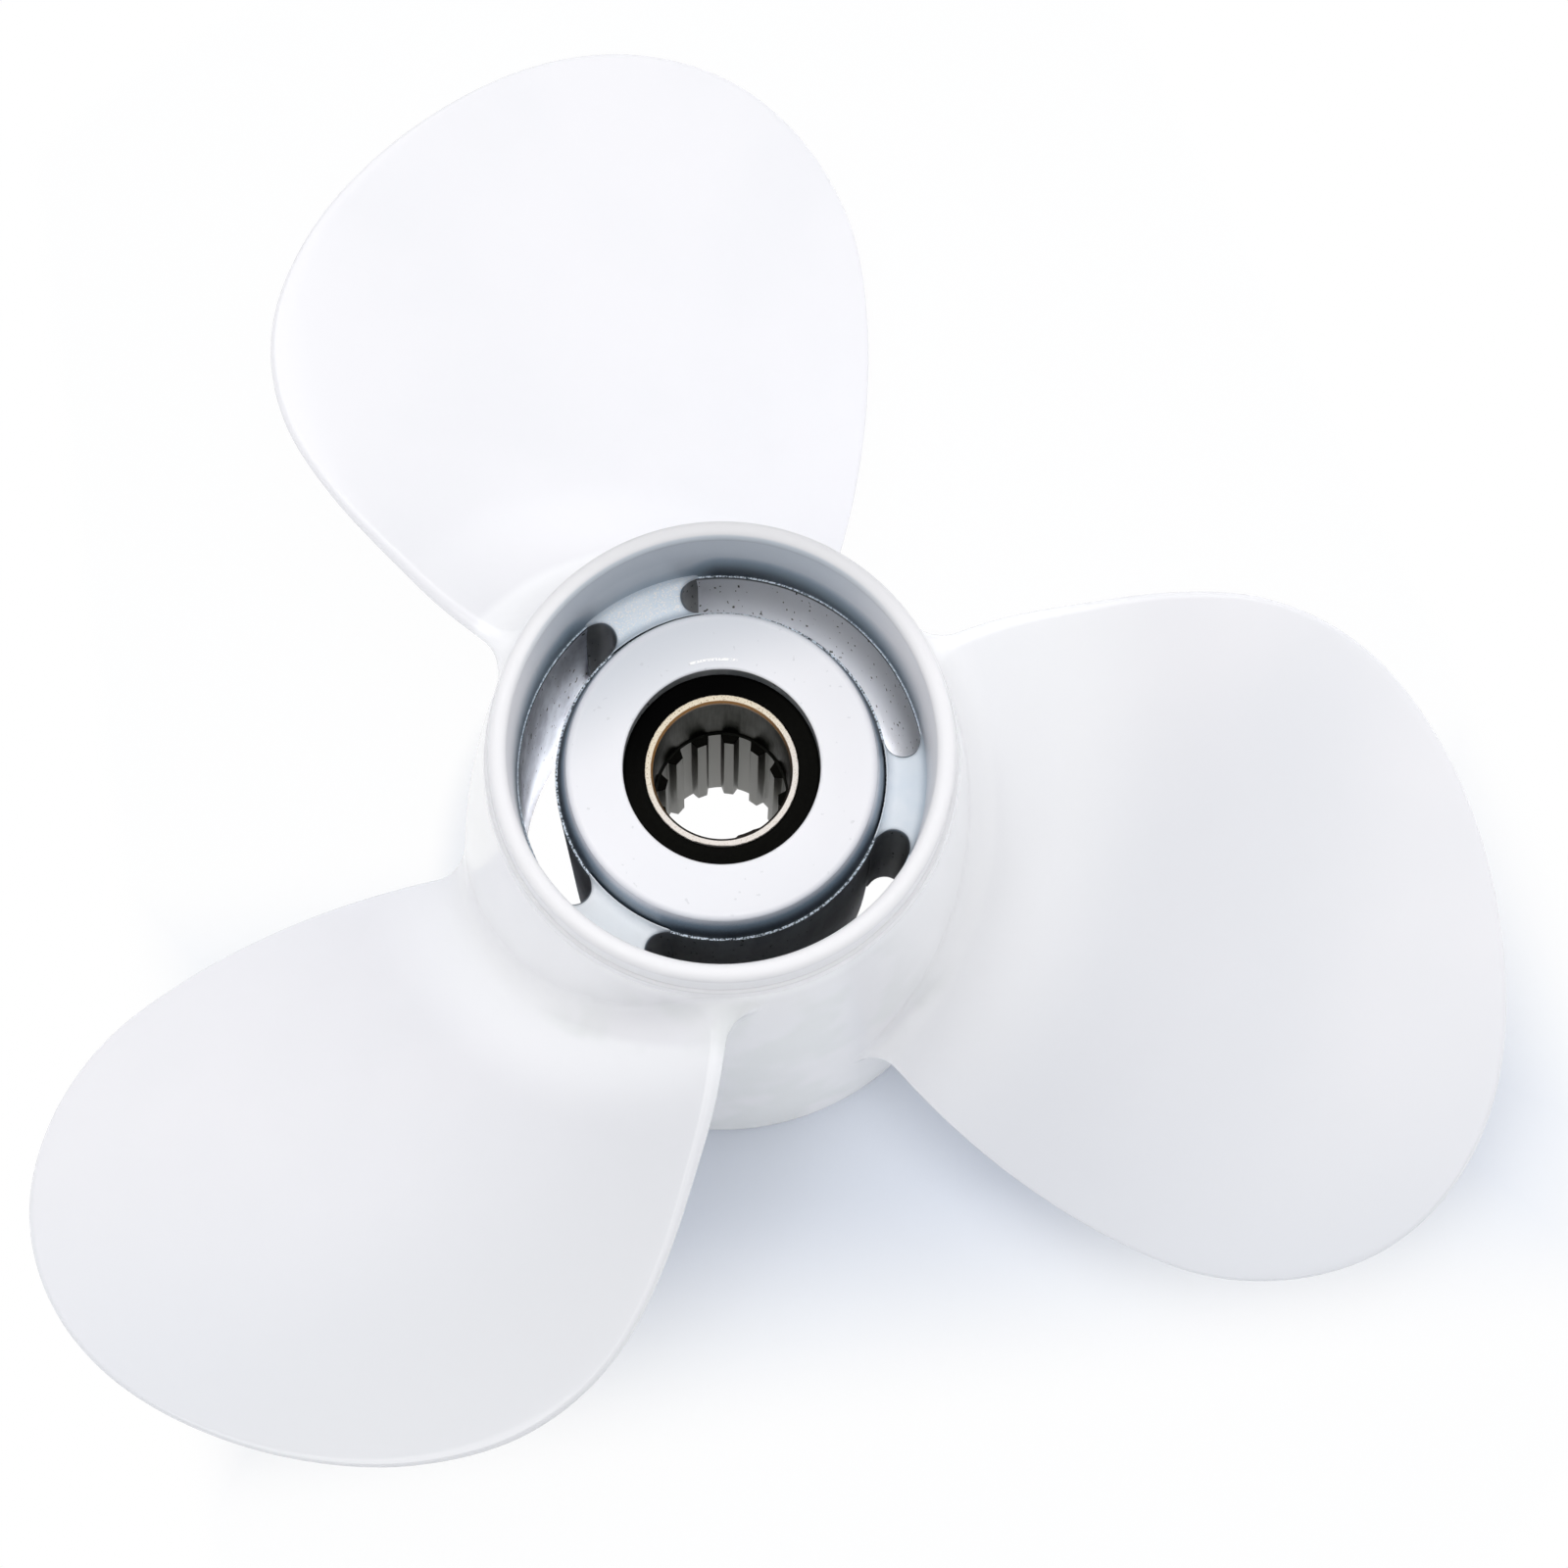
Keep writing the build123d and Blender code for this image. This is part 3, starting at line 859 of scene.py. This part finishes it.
def make_web(number):
    """A web between the inner hub and the barrel, hollow at both ends where the passages round it."""
    rows, columns = 40, 48
    slot_half = (PASSAGE_AFT - HUB_WEB_RADIUS) / 2
    middle_radius = HUB_WEB_RADIUS + slot_half
    end_angle = math.radians(WEB_ANGLE / 2) + slot_half / middle_radius
    # the web runs a little way into the hub and the barrel
    hub_overlap = 0.3
    barrel_overlap = 0.7
    radius = np.linspace(HUB_WEB_RADIUS - hub_overlap, PASSAGE_AFT + barrel_overlap, rows)
    inside = np.clip(np.abs(radius - middle_radius), 0, slot_half)
    limit = end_angle - np.sqrt(slot_half**2 - inside**2) / middle_radius
    turn = limit[:, None] * np.sin(np.linspace(-math.pi / 2, math.pi / 2, columns))[None, :]
    edge_gap = (limit[:, None] - np.abs(turn)) * middle_radius
    wall_gap = np.minimum(radius - HUB_WEB_RADIUS, PASSAGE_AFT + LEDGE_WIDTH - radius)
    top = WEB_HEIGHT - edge_fall(edge_gap, WEB_EDGE) + edge_fall(wall_gap, WEB_FILLET)[:, None]
    foot = np.full(turn.shape, WEB_HEIGHT - WEB_DEPTH)
    heading = math.radians(90 - WEB_TURN) - TURN * number / BLADE_COUNT
    wide = np.broadcast_to(radius[:, None], turn.shape)
    across = wide * np.cos(heading + turn)
    along = wide * np.sin(heading + turn)
    points = np.concatenate([np.stack([across, along, height], -1).reshape(-1, 3) for height in (top, foot)])
    faces = grid_faces(rows, columns, wrap_columns=False)
    size = rows * columns
    faces += [tuple(index + size for index in face[::-1]) for face in faces]
    border = grid_border(rows, columns)
    for here, there in zip(border, border[1:] + border[:1]):
        faces.append((here, there, there + size, here + size))

    def zone(radius, height):
        return DARK_CAST if height < WEB_HEIGHT - 0.7 else WEB_PAINT

    name = f"web_{number + 1}"
    add_casting(f"{name}_casting", points, faces, [WEB_PAINT, DARK_CAST], name, zone)


# Rubber bush, brass sleeve and splined core

def make_damper_bush():
    inner = SLEEVE_RADIUS + BUSH_GAP
    corners = [
        (inner, BUSH_FORWARD, 0.2),
        (HUB_BORE, BUSH_FORWARD, 0.3),
        (HUB_BORE, BUSH_AFT, 0.45),
        ((HUB_BORE + inner) / 2, BUSH_AFT - BUSH_DISH, 0),
        (inner, BUSH_AFT, 0.3),
    ]
    points, faces = lathe(rounded_profile(corners), BUSH_STEPS)
    add_piece("bush_rubber_ring", points, faces, [RUBBER], "casting", "damper_bush")


def stretch_of_rim(degrees, start, rise, end, fall):
    """1 between two places on the rim, in degrees, with a slope at either end."""
    return np.clip((degrees - start) / rise, 0, 1) * np.clip((end - degrees) / fall, 0, 1)


def wear_rim(points):
    """Small nicks and a flat outside the sleeve's aft rim, and a burr left inside its lip."""
    degrees = np.degrees(np.arctan2(points[:, 1], points[:, 0]))
    radius = np.hypot(points[:, 0], points[:, 1])
    rim = points[:, 2] > SLEEVE_AFT - 0.5
    nicks = NICK_DEPTH * np.maximum(np.sin(degrees * 0.9) * np.sin(degrees * 0.37 + 1.0), 0)
    nicks += FLAT_DEPTH * stretch_of_rim(degrees, -120, 3, -92, 3)
    burr = BURR_HEIGHT * stretch_of_rim(degrees, -86, 2, -64, 6)
    shift = np.where(rim & (radius > SLEEVE_RADIUS - 0.3), -nicks, 0)
    shift = np.where(rim & (radius < PILOT_RADIUS + 0.1), -burr, shift)
    points[:, :2] *= ((radius + shift) / radius)[:, None]


def make_brass_sleeve():
    corners = [
        (CORE_RADIUS, SLEEVE_FORWARD, 0),
        (SLEEVE_RADIUS, SLEEVE_FORWARD, 0.1),
        (SLEEVE_RADIUS, SLEEVE_AFT, 0.16),
        (PILOT_RADIUS + SLEEVE_CHAMFER, SLEEVE_AFT, 0.08),
        (PILOT_RADIUS, SLEEVE_AFT - SLEEVE_CHAMFER, 0.05),
        (PILOT_RADIUS, CORE_AFT, 0),
        (CORE_RADIUS, CORE_AFT, 0),
    ]
    points, faces = lathe(rounded_profile(corners, steps=5), SLEEVE_STEPS)
    wear_rim(points)
    add_piece("sleeve_brass_tube", points, faces, [BRASS], "core", "brass_sleeve")


def tooth_radius(turn):
    """The splined bore's radius at angles from a tooth's middle: tip, straight flank, then gap."""
    tip = SPLINE_MINOR / np.cos(turn)
    flank = (FLANK_SLOPE * SPLINE_MINOR - TOOTH_TIP / 2) / (FLANK_SLOPE - np.tan(np.abs(turn))) / np.cos(turn)
    return np.minimum(np.maximum(tip, flank), SPLINE_MAJOR)


def tooth_angles():
    """Angles across one tooth and half a gap on either side, close together at its corners."""
    pitch_angle = TURN / SPLINE_TEETH
    tip_edge = math.atan2(TOOTH_TIP / 2, SPLINE_MINOR)
    floor_edge = (TOOTH_TIP / 2 + FLANK_SLOPE * (SPLINE_MAJOR - SPLINE_MINOR)) / SPLINE_MAJOR
    # close to each corner, in radians
    near = 0.006
    half = np.concatenate([
        np.linspace(0, tip_edge - near, 5),
        [tip_edge, tip_edge + near],
        np.linspace(tip_edge + near, floor_edge - near, 6)[1:],
        [floor_edge, floor_edge + near],
        np.linspace(floor_edge + near, pitch_angle / 2, 6)[1:-1],
    ])
    return np.concatenate([-half[:0:-1], half, [pitch_angle / 2]])


def make_spline_core():
    """The core's tube: plain at its forward end, broached with bevelled teeth, then bored as the pilot."""
    turn = tooth_angles()
    start = math.radians(90 - FIRST_TOOTH)
    pitch_angle = TURN / SPLINE_TEETH
    angles = np.concatenate([start + number * pitch_angle + turn for number in range(SPLINE_TEETH)])
    teeth = np.tile(tooth_radius(turn), SPLINE_TEETH)
    # ease the crisp corners of the teeth
    teeth = (np.roll(teeth, 1) + 2 * teeth + np.roll(teeth, -1)) / 4
    bevelled = np.minimum(teeth + SPLINE_BEVEL, SPLINE_MAJOR)
    rows = [
        (CORE_RADIUS, SLEEVE_FORWARD),
        (SPLINE_MAJOR + SPLINE_BEVEL, SLEEVE_FORWARD),
        (SPLINE_MAJOR, SLEEVE_FORWARD + SPLINE_BEVEL),
        (SPLINE_MAJOR, SPLINE_FORWARD),
        (bevelled, SPLINE_FORWARD),
        (teeth, SPLINE_FORWARD + SPLINE_BEVEL),
        (teeth, (SPLINE_FORWARD + SPLINE_AFT) / 2),
        (teeth, SPLINE_AFT - SPLINE_BEVEL),
        (bevelled, SPLINE_AFT),
        (SPLINE_MAJOR, SPLINE_AFT),
        (PILOT_RADIUS, SPLINE_AFT),
        (PILOT_RADIUS, SPLINE_AFT + PILOT_STEP),
        (PILOT_RADIUS, CORE_AFT),
        (CORE_RADIUS, CORE_AFT),
    ]
    points = np.concatenate([ring_points(radius, angles, height) for radius, height in rows])
    faces = grid_faces(len(rows), len(angles), wrap_rows=True)
    bevel_middle = SPLINE_AFT - SPLINE_BEVEL / 2

    def zone(radius, height):
        if abs(height - bevel_middle) < SPLINE_BEVEL / 2 + 0.01 and radius < SPLINE_MAJOR - 0.02:
            return TOOTH_END_BLACK
        return STEEL

    add_piece("core_splined_tube", points, faces, [STEEL, TOOTH_END_BLACK], "core", "spline_core", zone)


make_barrel()
make_inner_hub()
BLADE_SECTION = blade_section()
for number in range(BLADE_COUNT):
    make_blade(number, BLADE_SECTION)
    make_web(number)

make_damper_bush()
make_brass_sleeve()
make_spline_core()


# Floor, lights and camera

FLOOR_REACH = 4.0
SKY_STRENGTH = 0.44
LAMP_TINT = (1.0, 0.985, 0.97)
SOFTBOX = (0.7, 0.7)
FAR_SOFTBOX = (0.9, 1.1)
OVERHEAD_BOX = (0.8, 0.8)
UNDER_BOX = (0.03, 0.02)
OBJECT_MIDDLE = (0, 0, 0.06)
CAMERA_LENS = 144.0
CAMERA_PLACE = (-0.025091, -0.175802, 1.123662)
CAMERA_RIGHT = (0.99018, -0.13944, 0.01041)
CAMERA_BACK = (-0.03398, -0.16773, 0.98525)


def make_floor():
    """A pale floor that shows white but for the part's shadow on its near side."""
    reach = FLOOR_REACH
    corners = [(-reach, -reach, 0), (reach, -reach, 0), (reach, reach, 0), (-reach, reach, 0)]
    mesh = bpy.data.meshes.new("floor")
    mesh.from_pydata(corners, [], [(0, 1, 2, 3)])
    floor = bpy.data.objects.new("floor", mesh)
    bpy.context.scene.collection.objects.link(floor)
    finish = Finish("pale_floor")
    rays = finish.rays()
    # painted shade: the eye sees a darker, bluer floor than the light bounces off, which deepens the shadow
    # where the floor doesn't glow
    tone = finish.mix(rays["Is Camera Ray"], colour(0.935, 0.96, 1.0), colour(0.74, 0.785, 0.865))
    finish.shade(Base_Color=tone, Roughness=0.35)
    spot, radius, _ = finish.place()
    # the floor glows below the hub, so that its bore and passages show white, and away from the shadow
    below_hub = 1 - radius.ramp(38.0, 41.0)
    clear = 0.96 * spot.dot(NEAR).ramp(58.0, 104.0)
    clear = clear.most(spot.dot(LEFT).ramp(70.0, 110.0)).most(radius.ramp(130.0, 190.0))
    clear = clear.most(0.97 * spot.dot(FAR).ramp(-35.0, 15.0))
    clear = clear.most(spot.dot((0.95, 0.3, 0.0)).ramp(100.0, 140.0))
    # and a little less close to the barrel
    clear = clear * (0.6 + 0.4 * radius.ramp(46.0, 54.0))
    seen = rays["Is Camera Ray"].most(rays["Is Glossy Ray"]).most(rays["Is Transmission Ray"])
    glow = finish.node("ShaderNodeEmission", None, {"Color": PURE_WHITE, "Strength": 1.0})
    shader = Term(finish, finish.shader.outputs[0])
    mixed = finish.node("ShaderNodeMixShader", None, {0: seen * below_hub.most(clear), 1: shader, 2: glow})
    finish.feed(finish.tree.nodes["Material Output"].inputs["Surface"], mixed)
    mesh.materials.append(finish.material)


def make_world():
    """Soft white light all round; the eye itself sees plain white."""
    world = bpy.data.worlds.new("soft_box")
    bpy.context.scene.world = world
    world.use_nodes = True
    sky = Nodes(world.node_tree)
    rays = sky.rays()
    seen = rays["Is Camera Ray"].most(rays["Is Transmission Ray"])
    background = world.node_tree.nodes["Background"]
    sky.feed(background.inputs["Strength"], SKY_STRENGTH + (1 - SKY_STRENGTH) * seen)
    sky.feed(background.inputs["Color"], colour(0.985, 0.99, 1.0))


def add_lamp(name, place, aim, size, power, mirrored=True):
    """A soft rectangular lamp that lights without being seen, also in glossy surfaces unless mirrored."""
    lamp = bpy.data.lights.new(name, "AREA")
    lamp.shape = "RECTANGLE"
    lamp.size, lamp.size_y = size
    lamp.energy = power
    lamp.color = LAMP_TINT
    holder = bpy.data.objects.new(name, lamp)
    bpy.context.scene.collection.objects.link(holder)
    holder.location = place
    holder.rotation_euler = (Vector(aim) - Vector(place)).to_track_quat("-Z", "Y").to_euler()
    holder.visible_camera = False
    holder.visible_glossy = mirrored


def add_camera():
    """A long lens nearly in line with the shaft, from the aft side."""
    data = bpy.data.cameras.new("camera")
    data.sensor_width = 36.0
    data.lens = CAMERA_LENS
    data.clip_start = 0.01
    data.clip_end = 20.0
    camera = bpy.data.objects.new("camera", data)
    bpy.context.scene.collection.objects.link(camera)
    right = Vector(CAMERA_RIGHT).normalized()
    back = Vector(CAMERA_BACK).normalized()
    up = back.cross(right).normalized()
    turned = Matrix((right, up, back)).transposed().to_4x4()
    camera.matrix_world = Matrix.Translation(CAMERA_PLACE) @ turned
    bpy.context.scene.camera = camera


make_floor()
make_world()
add_lamp("far_softbox", (0, 1.126, 0.71), OBJECT_MIDDLE, FAR_SOFTBOX, 2.9)
add_lamp("right_softbox", (1.126, 0, 0.71), OBJECT_MIDDLE, SOFTBOX, 3.9, mirrored=False)
add_lamp("left_softbox", (-1.058, -0.385, 0.71), OBJECT_MIDDLE, SOFTBOX, 2.4)
add_lamp("overhead", (-0.05, 0, 1.9), (0, 0, 0), OVERHEAD_BOX, 15.4, mirrored=False)
add_lamp("under_light", (0, 0.024, 0.001), (0, 0.024, 0.1), UNDER_BOX, 0.26, mirrored=False)
add_camera()
bpy.context.scene.view_settings.view_transform = "Standard"
